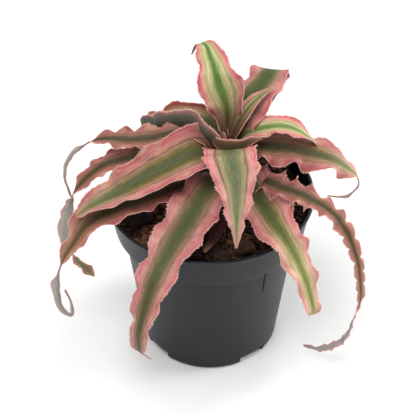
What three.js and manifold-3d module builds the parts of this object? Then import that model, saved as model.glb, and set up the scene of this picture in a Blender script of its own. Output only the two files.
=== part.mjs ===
// A striped earth-star bromeliad in a 12 cm nursery pot. Millimetres, +Z up, origin at the middle of the pot's base.
import * as THREE from "three";
import Module from "manifold-3d";

const wasm = await Module();
wasm.setup();

// ---- sizes of the pot, those of a common thin injection-moulded nursery pot ----
const POT_HEIGHT = 105;
const RIM_RADIUS = 60; // outside of the rolled lip
const BASE_RADIUS = 39;
const WALL = 1.2;
const COLLAR_HEIGHT = 21; // the wider band under the lip
const COLLAR_STEP = 5; // how far the body stands in from the collar
const FLOOR_THICKNESS = 2;
const NOTCH_COUNT = 4; // drain notches in the foot
const NOTCH_ANGLE = 24; // degrees round the foot that each one takes
const NOTCH_HEIGHT = 3.5;
const RIB_LENGTH = 19; // vertical grooves under the collar, one over each notch
const RIB_DEPTH = 0.9;
const SOIL_DROP = 7; // soil surface below the lip
const GAP = 0.3; // clearance between pieces that touch

// ---- the plant ----
const STEM_X = 10; // the plant stands off the pot's centre
const STEM_RADIUS = 4.6;
const STEM_TOP = 39; // above the lip
const BLADE = 1.2; // leaf thickness along the midrib
const LEAF_WIDTH = 1; // scales every leaf's width
const ROW_STEP = 5; // distance between leaf stations along the midrib
const CLEAN = 0.01; // slivers finer than this are closed up

// Each station of a leaf: reach from the stem's axis, height above the lip, sideways shift (+ to the left
// looking outwards), half width, and the turn of the blade about its midrib in degrees. Ruffle: how far the
// left and the right margin wave, the length of a wave, and where the waves start on each margin.
const LEAVES = [
  { name: "leaf_clasping", heading: 0, fold: 0.05, ruffle: [0.1, 0.1, 9, 0, 1], tone: 0,
    path: [[-8.7, 40.9, -1, 1.1, -90], [-6.9, 40, -3.9, 2.9, -80], [-3.8, 39.3, -6.3, 4.1, -77],
      [0.4, 39.3, -7.9, 4.8, -77], [5, 40.1, -8.4, 4.1, -76], [9.1, 41.8, -8.1, 3, -76],
      [12.3, 43.4, -7.5, 2.4, -78], [15.5, 44.2, -7, 1.3, -81], [18.7, 44.5, -6.5, 0.5, -85]] },
  { name: "leaf_young", heading: 38, fold: 0.4, ruffle: [0.3, 0.3, 14, 0, 2], tone: 0,
    path: [[2, 36, 0, 2.6, 0], [6, 44, 0, 5.6, 0], [11, 50, 0, 6, 0], [17, 55, 0, 4.5, 0], [24, 58, 0, 2.6, 0],
      [32, 60, 0, 0.5, 0]] },
  { name: "leaf_left_arch", heading: 152, fold: 1.13, ruffle: [0.8, 1, 18, 0, 2], tone: 0,
    path: [[2, 32, 0, 4, -6], [8, 35, 0, 11.5, -1], [14, 36, -0.5, 13.5, 5], [20.5, 37.5, -0.5, 15, 11],
      [26, 37.5, 0, 14.5, 12], [32.5, 35.5, 0, 13.5, 10], [39, 33.5, 0, 11, 8], [44.5, 31, 0, 8.5, 12],
      [49.5, 31.5, 0.5, 7, 21], [51.5, 27, 0, 4.5, 33], [52, 22, -1.5, 1.5, 46]] },
  { name: "leaf_top", heading: 107, fold: 0.18, ruffle: [1.2, 1.4, 19, 0, 2], tone: 0,
    path: [[2, 34, -0.5, 3, 0], [6, 45, -1.4, 6, 0], [9, 54, -1.6, 9.8, 0], [13, 60, -0.7, 12.4, 0],
      [17, 65, 0.5, 12.4, 0], [21, 70, 1, 10.6, 0], [25, 73.5, 1.5, 8.8, 0], [29, 76, 2, 7.4, 0],
      [34, 78, 2, 5.6, 0], [38, 77.6, 2.5, 4.4, 0], [42, 75.5, 3.5, 3.2, 0], [44.5, 71.5, 5.5, 2.2, 0],
      [45, 67, 7.5, 0.5, 0]] },
  { name: "leaf_right_arch", heading: 4, fold: 0.3, ruffle: [1.2, 1.6, 20, 1, 4], tone: 0,
    path: [[2, 32, 0, 3, 0], [8, 40, 0, 5.6, 4], [13, 43, 0, 7, 6], [19, 45, 0, 7.6, 8], [26, 46, 0, 7.8, 10],
      [33, 45, 0, 7.2, 10], [40, 41.5, 0, 5.4, 8], [46, 36, 0, 3.4, 0], [50, 31, 0, 1.8, 0], [53, 27.5, 0, 0.5, 0]] },
  { name: "leaf_front", heading: -84, fold: 0.1, ruffle: [1.5, 1.6, 17, 0, 3], tone: 0,
    path: [[2, 28, 0, 3, 0], [7, 33.5, 0, 7.5, 0], [10.5, 37.6, 0, 11, 0], [15, 41.3, -1, 13.8, 0],
      [22, 43.3, -1, 14.6, 0], [32, 40.5, -0.5, 13, 0], [38, 37, 0, 10.5, 0], [45, 32, -0.5, 8, 0],
      [54, 25, -1.5, 4.6, 0], [60, 19, -2, 1.8, 0], [63.5, 14.5, -2.5, 0.5, 0]] },
  { name: "leaf_back_right", heading: 58, fold: 0.05, ruffle: [1.8, 1.6, 19, 1, 2], tone: 1,
    path: [[2, 27, 0, 3, 0], [8, 37, 0, 9, -5], [13, 45, 0, 13, -10], [21, 50.5, 0, 15, -14], [30, 53, 0, 14.5, -14],
      [39, 54.5, 0, 13, -14], [46, 55.5, 0.5, 11.4, -12], [52, 53, 2, 9.8, -5], [57, 46, 4, 8.5, 0],
      [60, 37, 6, 6.5, 0], [62, 27, 8, 3.5, 0], [62, 19, 9, 0.6, 0]] },
  { name: "leaf_left", heading: 200, fold: 0.5, ruffle: [1.6, 1.6, 22, 3, 2], tone: 1,
    path: [[2, 28, 0, 3, -10], [8, 32, 0, 9, -18], [15, 34, 0, 14.5, -25], [26, 33, 0, 15.5, -27],
      [38, 28.5, 0, 14.5, -27], [50, 24, 0, 13, -25], [62, 19.5, 0, 10.8, -25], [74, 15.5, 0, 8.2, -20],
      [83, 11.8, 0, 5.4, -15], [87, 9.5, 0, 3.8, -10], [90, 8, 0, 0.8, 0]] },
  { name: "leaf_right", heading: -3, fold: 0.02, ruffle: [1.2, 4.6, 20, 2.6, 2.3], tone: 1,
    path: [[2, 26, 0, 3, 0], [8, 31, 0, 6.5, 6], [14, 33.5, 0, 9, 12], [22, 34, 0, 10.5, 18], [32, 33.5, 0, 11, 18],
      [40, 32, 0, 11, 18], [49, 30, 0, 10.5, 18], [56, 28, 0, 9.5, 18], [63, 24, 0, 8, 15], [69, 19, 0, 5, 10],
      [73, 14.5, 0, 2.2, 0], [74.5, 8.5, 0, 1.4, 0], [72.5, 4, 0, 1.2, 0], [68, 0, 0, 1, 0], [62, -1, 0, 0.7, 0],
      [57, -0.5, 0, 0.5, 0]] },
  { name: "leaf_left_back", heading: 175, fold: 0.2, ruffle: [2.4, 1.8, 13, 5, 2], tone: 2,
    path: [[2, 24.2, 0, 3, 0], [8, 32, 0, 5.2, -5], [16, 38, 0, 8, -15], [24, 39.5, 0, 10, -20],
      [33, 38, 0, 9.5, -20], [44, 35, 0, 9, -20], [55, 34, 0, 7.5, -20], [66, 34, 0, 5.5, -20],
      [73, 33, 0, 3.2, -20], [79, 30, 0, 1.3, 30], [84, 26, 0, 1.4, 80], [89, 21, 0, 1.3, 90], [93, 12, 0, 1, 90],
      [94, 3, 0, 0.8, 90], [92, -8, 0, 0.6, 90], [90, -14, 0, 0.5, 90]] },
  { name: "leaf_back_left", heading: 140, fold: 0.1, ruffle: [1.2, 1.2, 18, 0, 2], tone: 2,
    path: [[2, 21, 0, 3, 0], [8, 28, 0, 6, 0], [14, 33, 0, 8, 0], [21, 35, 0, 9, 0], [28, 35, 0, 8.5, 0],
      [34, 34, 0, 7.5, 0], [38.5, 31, 0, 6.5, 0], [41.5, 26, 0, 5.5, 0], [43, 19, 0, 4.5, 0], [43.5, 10, 0, 3, 0],
      [43, 1, 0, 0.6, 0]] },
  { name: "leaf_left_rear", heading: 178, fold: 0.2, ruffle: [1.8, 1.8, 13, 1, 2], tone: 2,
    path: [[2, 18, 0, 3, 0], [12, 22, 0, 6, 0], [22, 24.5, 0, 8, -10], [38, 25, 0, 9, -20], [47, 24.5, 0, 8.5, -20],
      [55, 23, 0, 8, -20], [62, 21, 0, 7, -20], [70, 17.5, 0, 6, -25], [77, 11.5, 0, 4.8, -35],
      [83.5, 4, 0, 3.8, -45], [88.5, -4, 0, 2.2, 0], [91, -11, 0, 2.6, 60], [93.5, -20, 0, 3.4, 85],
      [96, -32, 0, 3.6, 90], [96, -41, 0, 3, 70], [93, -50, 0, 2.6, -20], [87, -59, 0, 3.2, -70],
      [83, -65, 0, 2.4, -80], [80, -70, 0, 0.6, -80]] },
  { name: "leaf_front_right", heading: -56, fold: 0.06, ruffle: [2, 2.2, 22, 2, 4], tone: 1,
    path: [[2, 19, 0, 3, 0], [8, 21.5, 0, 7, 0], [14, 22.5, 0, 10, 0], [26, 19, 0, 13.4, 0], [37, 14, 0, 14, 0],
      [47, 9, 0, 12.6, 0], [58, 5, 0, 10, 0], [68, -2, 0, 8.6, 0], [75, -9, 0, 6.8, 0], [80, -17, 0, 5.4, 0],
      [83, -24, 0, 4, 0], [84, -28, 0, 3.2, 0], [82.5, -31.5, 0, 2, 0], [80, -33, 0, 0.6, 0]] },
  { name: "leaf_back_right_low", heading: 30, fold: 0.1, ruffle: [1, 1, 17, 0, 3], tone: 2,
    path: [[2, 20, 0, 3, 0], [9, 22.5, 0, 4.6, 0], [16, 22.5, 0, 5.4, 0], [30, 18.5, 0, 5.8, 0],
      [42, 13.5, 0, 5.4, 0], [52, 7.5, 0, 4.6, 0], [59, -1, 0, 3.2, 0], [63, -10, 0, 0.6, 0]] },
  { name: "leaf_back", heading: 95, fold: 0.1, ruffle: [1.5, 1.5, 19, 0, 3], tone: 2,
    path: [[2, 16, 0, 3, 0], [10, 20, 0, 6.5, 0], [18, 22.5, 0, 9, 0], [30, 22, 0, 10, 0], [44, 17, 0, 9.5, 0],
      [56, 9, 0, 8, 0], [65, -2, 0, 6, 0], [70, -15, 0, 3.5, 0], [71, -27, 0, 0.6, 0]] },
  { name: "leaf_front_left", heading: -121, fold: 0.06, ruffle: [2, 2, 21, 1, 2], tone: 1,
    path: [[2, 14, 0, 3, 0], [8, 17.5, 0, 7, 0], [15, 19, 0, 11, 0], [28, 16, 0, 14, 0], [42, 11, 0, 14.3, 0],
      [54, 7, 0, 13.6, 0], [66, 2, 0, 11.5, 0], [77, -5, 0, 10.5, 0], [85, -14, 0, 8.7, 0], [91, -24, 0, 6.6, 0],
      [95, -33, 0, 5.6, 0], [95, -43, 0, 4.2, 0], [94, -48, 0, 2, 0], [92, -52, 2, 0.8, 0], [91, -54, 5, 0.5, 0]] },
  { name: "leaf_left_low", heading: 201, fold: 0.5, ruffle: [2.2, 2.2, 19, 1, 4], tone: 2,
    path: [[2, 9, 0, 3, 0], [12, 13, 0, 6, -10], [23, 15, 0, 9, -20], [46, 11, 0, 11, -22], [60, 9, 0, 11, -22],
      [71, 7, 0, 10.8, -22], [80, 4, 0, 9.4, -22], [87, -2, 0, 8, -25], [92, -9, 0, 6, -35], [97, -16, 0, 3.6, -45],
      [100, -22, 0, 1.8, -20], [102.5, -29, 0, 2.2, 45], [104, -36, 0, 2.8, 80], [105, -44, 0, 2.4, 90],
      [104, -54, 0, 2.1, 90], [101, -62, 0, 1.7, 90], [97, -66, 0, 1.1, 90], [96, -62, -1, 0.9, 90],
      [97, -54, -2, 0.7, 90], [99, -47, -3, 0.5, 90]] },
  { name: "leaf_right_low", heading: -35, fold: 0.05, ruffle: [2.4, 2.4, 10.5, 0, 3], tone: 2,
    path: [[2, 9, 0, 3, 0], [10, 15, 0, 5, 10], [18, 19, 0, 7, 15], [28, 21, 0, 8, 15], [37, 21, 0, 7.5, 15],
      [45, 22, 0, 7, 15], [52, 22, 0, 6.6, 15], [59, 21.5, 0, 6, 10], [65, 20.5, 0, 5, 10], [71, 18, 0, 5.5, 10],
      [76, 13.5, 0, 5, 25], [81, 7.5, 0, 4.4, 45], [85, -1, 0, 3.8, 55], [88, -9, 0, 3.2, 60],
      [89.5, -18, 0, 3.2, 60], [91, -29, 0, 2.6, 60], [90.5, -40, 0, 1.5, 20], [88, -52, 0, 1.3, -30],
      [85.5, -64, 0, 1.3, -60], [81.5, -74, 0, 1.6, -70], [74.5, -83, 0, 2, -80], [66.5, -90, 0, 1.7, -80],
      [56, -93.5, 0, 0.5, -80]] },
];
// A withered basal leaf that lies on the soil in front of the stem.
const BASAL = { name: "leaf_withered", heading: -99, fold: 0, ruffle: [0.3, 0.3, 12, 0, 1], tone: 3,
  path: [[2, 6, 0, 2.4, 0], [9, 4, 0, 3.6, 0], [18, 1, 0, 4.2, 0], [28, -2, -1, 4, 0], [38, -3.6, -3, 3, 0],
    [48, -4.2, -6, 0.8, 0]] };

// Bark pieces lying on the soil: angle round the pot, distance from its axis, length, width, thickness, turn, tilt.
const BARK = [
  [-157, 44, 17, 8, 4, 30, 8], [-66, 45, 14, 8, 4.5, 10, -6], [-82, 47, 12, 7, 3.5, -40, 7], [-100, 44, 16, 6, 3.5, 65, 5],
  [-132, 30, 13, 7, 4, -20, -8], [170, 40, 12, 8, 4, 50, 6], [118, 42, 15, 8, 4, 15, 5], [60, 44, 13, 7, 4, -30, -6],
  [12, 45, 12, 7, 3.5, 70, 6], [-28, 46, 11, 6, 3.5, 20, -5],
];

const rad = (deg) => (deg * Math.PI) / 180;

// ---- from a three.js geometry to a manifold solid and back ----
function solid(geometry) {
  const g = geometry.index ? geometry.toNonIndexed() : geometry;
  const p = g.getAttribute("position");
  const keys = new Map();
  const points = [];
  const faces = [];
  for (let i = 0; i < p.count; i += 3) {
    const f = [0, 1, 2].map((k) => {
      const v = [p.getX(i + k), p.getY(i + k), p.getZ(i + k)];
      const key = v.map((x) => Math.round(x * 1e4)).join();
      if (!keys.has(key)) {
        keys.set(key, points.length / 3);
        points.push(...v);
      }
      return keys.get(key);
    });
    if (f[0] !== f[1] && f[1] !== f[2] && f[2] !== f[0]) faces.push(...f);
  }
  return new wasm.Manifold(
    new wasm.Mesh({ numProp: 3, vertProperties: new Float32Array(points), triVerts: new Uint32Array(faces) }),
  );
}

function geometryOf(made) {
  const m = made.getMesh();
  const v = new Float32Array(m.numVert * 3);
  for (let i = 0; i < m.numVert; i++) v.set(m.vertProperties.subarray(i * m.numProp, i * m.numProp + 3), i * 3);
  const g = new THREE.BufferGeometry();
  g.setAttribute("position", new THREE.BufferAttribute(v, 3));
  g.setIndex(new THREE.BufferAttribute(new Uint32Array(m.triVerts), 1));
  return g;
}

// A closed solid of revolution about the pot's axis from a ring of [radius, height] corners, listed anticlockwise.
function turned(corners, segments) {
  const ring = [...corners, corners[0]].map(([r, z]) => new THREE.Vector2(r, z));
  return solid(new THREE.LatheGeometry(ring, segments).rotateX(Math.PI / 2));
}

// The largest body of a solid that a cut may have left in pieces.
function largest(made) {
  return made.decompose().sort((a, b) => b.volume() - a.volume())[0];
}

// ---- pot ----
const bodyTop = POT_HEIGHT - COLLAR_HEIGHT;
const collarFoot = RIM_RADIUS - 0.225 * COLLAR_HEIGHT;
const bodyRadius = collarFoot - COLLAR_STEP;
const footFlare = 0.05 * (bodyRadius - BASE_RADIUS);

function potSolid() {
  const w = WALL;
  const profile = [
    [0, 0], [BASE_RADIUS, 0], [BASE_RADIUS + footFlare + 0.6, 1.2], [bodyRadius, bodyTop - 3],
    [bodyRadius + 0.6, bodyTop - 0.6], [collarFoot - 0.6, bodyTop - 0.6], [collarFoot, bodyTop + 0.2],
    [RIM_RADIUS - 1.1, POT_HEIGHT - 1.6], [RIM_RADIUS, POT_HEIGHT - 1.2], [RIM_RADIUS, POT_HEIGHT - 0.3],
    [RIM_RADIUS - 0.5, POT_HEIGHT], [RIM_RADIUS - 0.5 - w, POT_HEIGHT], [RIM_RADIUS - 1.1 - w, POT_HEIGHT - 1.6],
    [collarFoot - w, bodyTop + 1.6], [bodyRadius - w + 0.4, bodyTop + 0.6], [bodyRadius - w, bodyTop - 3],
    [BASE_RADIUS - w, FLOOR_THICKNESS], [0, FLOOR_THICKNESS],
  ];
  let pot = turned(profile, 48);
  for (let i = 0; i < NOTCH_COUNT; i++) {
    const at = 39 + (i * 360) / NOTCH_COUNT;
    // drain notch: a wedge of the foot's outer 4.5 mm
    const arc = rad(NOTCH_ANGLE) / 2;
    const wedge = new THREE.Shape();
    wedge.absarc(0, 0, BASE_RADIUS + 8, -arc, arc, false);
    wedge.absarc(0, 0, BASE_RADIUS - 4.5, arc, -arc, true);
    wedge.closePath();
    const notch = new THREE.ExtrudeGeometry(wedge, { depth: NOTCH_HEIGHT + 1, bevelEnabled: false, curveSegments: 8 });
    notch.translate(0, 0, -1).rotateZ(rad(at));
    pot = pot.subtract(solid(notch));
    // groove pressed into the body under the collar, narrowing downwards
    const slot = new THREE.Shape([
      new THREE.Vector2(-1.1, 0), new THREE.Vector2(-0.35, -RIB_LENGTH), new THREE.Vector2(0.35, -RIB_LENGTH),
      new THREE.Vector2(1.1, 0),
    ]);
    const groove = new THREE.ExtrudeGeometry(slot, { depth: 4, bevelEnabled: false });
    const lean = Math.atan2(bodyRadius - BASE_RADIUS, bodyTop);
    groove.rotateX(Math.PI / 2 - 0).rotateZ(Math.PI / 2).translate(-RIB_DEPTH, 0, 0).rotateY(lean);
    groove.translate(bodyRadius, 0, bodyTop - 4).rotateZ(rad(at));
    pot = pot.subtract(solid(groove));
  }
  return largest(pot);
}

// ---- soil: fills the pot below the lip, with a gently uneven top ----
function innerRadius(z) {
  if (z > bodyTop) {
    const t = (z - bodyTop) / COLLAR_HEIGHT;
    return collarFoot - WALL + (RIM_RADIUS - 1.1 - collarFoot) * t;
  }
  return BASE_RADIUS - WALL + (bodyRadius - BASE_RADIUS) * (z / (bodyTop - 3));
}

function soilSolid() {
  const top = POT_HEIGHT - SOIL_DROP;
  const step = bodyTop - 3;
  const rings = 5;
  const ring = [[0, FLOOR_THICKNESS + GAP]];
  ring.push([innerRadius(FLOOR_THICKNESS) - GAP - 0.2, FLOOR_THICKNESS + GAP]);
  ring.push([bodyRadius - WALL - GAP - 0.2, step], [innerRadius(bodyTop + 2) - GAP - 0.6, bodyTop + 2.6]);
  for (let i = 0; i <= rings; i++) {
    const r = (innerRadius(top) - GAP - 0.8) * (1 - i / rings);
    ring.push([r, top - 1 + 1.6 * (i / rings)]);
  }
  const body = new THREE.LatheGeometry([...ring, ring[0]].map(([r, z]) => new THREE.Vector2(r, z)), 32);
  body.rotateX(Math.PI / 2);
  const p = body.getAttribute("position");
  for (let i = 0; i < p.count; i++) {
    const [x, y, z] = [p.getX(i), p.getY(i), p.getZ(i)];
    if (z < top - 2 || Math.hypot(x, y) > RIM_RADIUS - 8) continue;
    p.setZ(i, z + soilRipple(x, y));
  }
  return solid(body);
}
function soilRipple(x, y) {
  return 0.7 * Math.sin(x / 7 + 1) * Math.cos(y / 6) + 0.4 * Math.sin(x / 3.1 - y / 4.3);
}
function soilHeight(x, y) {
  const reach = Math.hypot(x, y) / (innerRadius(POT_HEIGHT - SOIL_DROP) - GAP - 0.8);
  return POT_HEIGHT - SOIL_DROP - 1 + 1.6 * (1 - reach) + soilRipple(x, y);
}

// ---- leaves ----
// How far out and how high a station stands, following the pot's own sizes.
const reachScale = RIM_RADIUS / 60;
function lift(height) {
  return POT_HEIGHT + (height < 0 ? (height * POT_HEIGHT) / 105 : height);
}

function leafRows(leaf) {
  const out = new THREE.Vector3(Math.cos(rad(leaf.heading)), Math.sin(rad(leaf.heading)), 0);
  const left = new THREE.Vector3(-out.y, out.x, 0);
  const at = leaf.path.map(([r, h, s]) =>
    new THREE.Vector3(STEM_X, 0, lift(h)).addScaledVector(out, r * reachScale).addScaledVector(left, s * reachScale));
  const curve = new THREE.CatmullRomCurve3(at, false, "catmullrom", 0.5);
  const form = new THREE.CatmullRomCurve3(leaf.path.map(([, , , w, t]) => new THREE.Vector3(w, t, 0)), false,
    "catmullrom", 0.5);
  const fine = 24 * (at.length - 1);
  const points = curve.getPoints(fine);
  const forms = form.getPoints(fine);
  const along = [0];
  for (let i = 1; i <= fine; i++) along.push(along[i - 1] + points[i].distanceTo(points[i - 1]));
  const length = along[fine];
  const count = Math.max(6, Math.round(length / ROW_STEP));
  const rows = [];
  const side = left.clone();
  for (let i = 0, k = 0; i <= count; i++) {
    const q = (length * i) / count;
    while (k < fine - 1 && along[k + 1] < q) k++;
    const t = (q - along[k]) / (along[k + 1] - along[k]);
    const p = points[k].clone().lerp(points[k + 1], t);
    const f = forms[k].clone().lerp(forms[k + 1], t);
    const tangent = points[k + 1].clone().sub(points[k]).normalize();
    side.addScaledVector(tangent, -side.dot(tangent)).normalize();
    const up = tangent.clone().cross(side);
    const turn = rad(f.y);
    rows.push({
      q, p, tangent, w: Math.max(f.x * LEAF_WIDTH, 0.4),
      a: side.clone().multiplyScalar(Math.cos(turn)).addScaledVector(up, Math.sin(turn)),
      n: up.clone().multiplyScalar(Math.cos(turn)).addScaledVector(side, -Math.sin(turn)),
    });
  }
  return rows;
}

// The blade as a closed solid: `across` stations over the width, on its upper and its lower face.
function blade(leaf, extra = 0) {
  const across = [-1, -0.55, 0, 0.55, 1];
  const [ampLeft, ampRight, wave, phaseLeft, phaseRight] = leaf.ruffle;
  const rings = leafRows(leaf).map(({ q, p, tangent, w, a, n }, i, rows) => {
    const ring = [];
    p.addScaledVector(tangent, extra * (i === 0 ? -1 : i === rows.length - 1 ? 1 : 0));
    for (const face of [1, -1]) {
      const half = (BLADE * (0.55 + 0.45 * Math.min(1, w / 6))) / 2 + extra;
      for (const v of face > 0 ? across : [...across].reverse()) {
        const fringe = Math.min(1, w / 8) * Math.min(1, q / 15) * Math.abs(v) ** 2.4;
        const [amp, phase] = v > 0 ? [ampLeft, phaseLeft] : [ampRight, phaseRight];
        const ripple = amp * fringe * Math.sin((2 * Math.PI * q) / wave + phase);
        const thick = half * (1 - 0.45 * v * v) * face;
        const bend = leaf.fold * Math.abs(v);
        const lean = Math.sign(v) * Math.atan2(1.5 * Math.sqrt(Math.abs(v)) * Math.sin(leaf.fold),
          Math.cos(bend) - bend * Math.sin(bend));
        const lateral = w * v * Math.cos(bend) + extra * v * Math.cos(lean) - thick * Math.sin(lean);
        const rise = w * Math.abs(v) ** 1.5 * Math.sin(leaf.fold) + extra * v * Math.sin(lean) + ripple +
          thick * Math.cos(lean);
        ring.push(p.clone().addScaledVector(a, lateral).addScaledVector(n, rise));
      }
    }
    return ring;
  });
  const m = rings[0].length;
  const points = rings.flat();
  const faces = [];
  for (let i = 0; i + 1 < rings.length; i++)
    for (let j = 0; j < m; j++) {
      const [a, b] = [i * m + j, i * m + ((j + 1) % m)];
      faces.push(a, b, b + m, a, b + m, a + m);
    }
  const last = (rings.length - 1) * m;
  for (let j = 1; j + 1 < m; j++) faces.push(0, j + 1, j, last, last + j, last + j + 1);
  const g = new THREE.BufferGeometry();
  g.setAttribute("position", new THREE.Float32BufferAttribute(points.flatMap((v) => v.toArray()), 3));
  g.setIndex(faces);
  const made = solid(g);
  return made.volume() > 0 ? made : solid(flipped(g));
}
function flipped(g) {
  const index = Array.from(g.index.array);
  for (let i = 0; i < index.length; i += 3) [index[i + 1], index[i + 2]] = [index[i + 2], index[i + 1]];
  return g.clone().setIndex(index);
}

// ---- stem: a short leafy axis from the soil to the heart of the rosette ----
function stemSolid(extra = 0) {
  const foot = soilHeight(STEM_X, 0) + 1.2;
  const top = POT_HEIGHT + STEM_TOP;
  const r = STEM_RADIUS + extra;
  const ring = [[0, foot - extra], [r + 0.8, foot - extra], [r, foot + 8], [r - 0.4, top - 10],
    [r - 1.2, top - 3], [r - 2.4, top + extra], [0, top + extra]];
  return turned(ring, 16).translate([STEM_X, 0, 0]);
}

// ---- bud: the youngest leaf, still rolled to a spindle in the heart of the rosette ----
function budSolid(extra = 0) {
  const foot = POT_HEIGHT + STEM_TOP + GAP - extra;
  const form = [[0, 0], [1.7, 0], [2.4, 1.3], [2.3, 3.2], [1.3, 5], [0.4, 6], [0, 6.1]];
  const ring = form.map(([r, z], i) => [i ? r + (r > 0 ? extra : 0) : 0, foot + z + (i === 6 ? 2 * extra : 0)]);
  return turned(ring, 12).translate([STEM_X - 3, -1, 0]);
}

// ---- bark: a slab with chamfered ends, laid on the soil ----
function barkSolid([angle, distance, length, width, thick, turn, tilt]) {
  const outline = new THREE.Shape([
    new THREE.Vector2(-0.5 * length, -0.22 * width), new THREE.Vector2(-0.3 * length, -0.5 * width),
    new THREE.Vector2(0.36 * length, -0.42 * width), new THREE.Vector2(0.5 * length, 0.05 * width),
    new THREE.Vector2(0.3 * length, 0.5 * width), new THREE.Vector2(-0.38 * length, 0.4 * width),
  ]);
  const g = new THREE.ExtrudeGeometry(outline, {
    depth: thick * 0.5, bevelEnabled: true, bevelThickness: thick * 0.25, bevelSize: thick * 0.22, bevelSegments: 1 });
  const reach = (distance / 60) * RIM_RADIUS;
  const [x, y] = [reach * Math.cos(rad(angle)), reach * Math.sin(rad(angle))];
  g.rotateX(rad(tilt)).rotateZ(rad(turn)).translate(x, y, soilHeight(x, y));
  return solid(g);
}

// ---- put together: each piece is cleared of the ones before it by the gap ----
const COLOURS = {
  pot: [0x2f3133, 0.55], soil: [0x2b211b, 0.95], stem: [0x6b2f2a, 0.7], bark: [0x6a432c, 0.9],
  leaf: [0x8f9a5c, 0.55], leaf_mid: [0x8a7f4e, 0.6], leaf_old: [0x93634f, 0.65], leaf_dry: [0x5e1f22, 0.75],
};
const TONES = ["leaf", "leaf_mid", "leaf_old", "leaf_dry"];
const group = new THREE.Group();
const placed = [];
function near(a, b) {
  const [p, q] = [a.boundingBox(), b.boundingBox()];
  return [0, 1, 2].every((k) => p.min[k] < q.max[k] && q.min[k] < p.max[k]);
}
function add(name, made, fat, look) {
  let piece = made;
  for (const other of placed) if (near(piece, other)) piece = piece.subtract(other);
  piece = largest(piece.asOriginal().simplify(CLEAN));
  placed.push(fat);
  const [colour, roughness] = COLOURS[look];
  const mesh = new THREE.Mesh(geometryOf(piece),
    new THREE.MeshStandardMaterial({ color: colour, roughness, metalness: 0 }));
  mesh.name = name;
  group.add(mesh);
}

const pot = potSolid();
add("pot", pot, pot, "pot");
const soil = soilSolid();
add("soil", soil, soil.translate([0, 0, GAP]), "soil");
add("stem", stemSolid(), stemSolid(GAP), "stem");
add("leaf_bud", budSolid(), budSolid(GAP), "leaf");
for (const leaf of LEAVES) add(leaf.name, blade(leaf), blade(leaf, GAP + 0.25), TONES[leaf.tone]);
add(BASAL.name, blade(BASAL), blade(BASAL, GAP + 0.25), "leaf_dry");
BARK.forEach((chip, i) => add("bark_" + (i + 1), barkSolid(chip), barkSolid(chip).translate([0, 0, GAP]), "bark"));

export default group;
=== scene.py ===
# A pink-striped earth-star bromeliad in a 12 cm nursery pot. Metres, +Z up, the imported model's own frame.
import math

import bpy
import numpy as np
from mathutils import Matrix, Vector


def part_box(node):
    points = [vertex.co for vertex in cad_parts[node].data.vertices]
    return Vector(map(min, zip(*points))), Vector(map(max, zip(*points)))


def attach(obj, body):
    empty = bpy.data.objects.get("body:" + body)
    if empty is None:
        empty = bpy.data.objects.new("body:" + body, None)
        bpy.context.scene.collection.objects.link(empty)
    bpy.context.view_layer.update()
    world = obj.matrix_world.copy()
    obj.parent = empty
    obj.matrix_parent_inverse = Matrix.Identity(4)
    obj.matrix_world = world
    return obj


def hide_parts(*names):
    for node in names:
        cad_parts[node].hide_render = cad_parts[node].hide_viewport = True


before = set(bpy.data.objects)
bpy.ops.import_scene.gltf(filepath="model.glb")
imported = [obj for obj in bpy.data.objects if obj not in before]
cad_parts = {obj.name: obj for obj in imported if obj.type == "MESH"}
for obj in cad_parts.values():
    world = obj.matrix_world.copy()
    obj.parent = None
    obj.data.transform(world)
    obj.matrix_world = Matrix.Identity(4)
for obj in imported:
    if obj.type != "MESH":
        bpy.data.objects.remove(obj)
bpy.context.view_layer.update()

MM = 0.001
SEED = 7

# ---- where things are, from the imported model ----
POT_HIGH = np.array(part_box("pot")[1]) / MM
STEM_LOW, STEM_HIGH = (np.array(corner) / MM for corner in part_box("stem"))
LIP = POT_HIGH[2]
RIM_RADIUS = POT_HIGH[0]
STEM_X = (STEM_LOW[0] + STEM_HIGH[0]) / 2
STEM_TOP = STEM_HIGH[2]

# ---- pot sizes in millimetres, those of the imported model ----
BASE_RADIUS = 39
WALL = 1.2
COLLAR_HEIGHT = 21
COLLAR_STEP = 5
NOTCH_TURNS = [39 + 90 * i for i in range(4)]
NOTCH_HALF = 12
NOTCH_HEIGHT = 3.5
GROOVE_LENGTH = 19
GROOVE_DEPTH = 0.9
BODY_TOP = LIP - COLLAR_HEIGHT
COLLAR_FOOT = RIM_RADIUS - 0.225 * COLLAR_HEIGHT
BODY_RADIUS = COLLAR_FOOT - COLLAR_STEP
SOIL_DROP = 7

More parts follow.
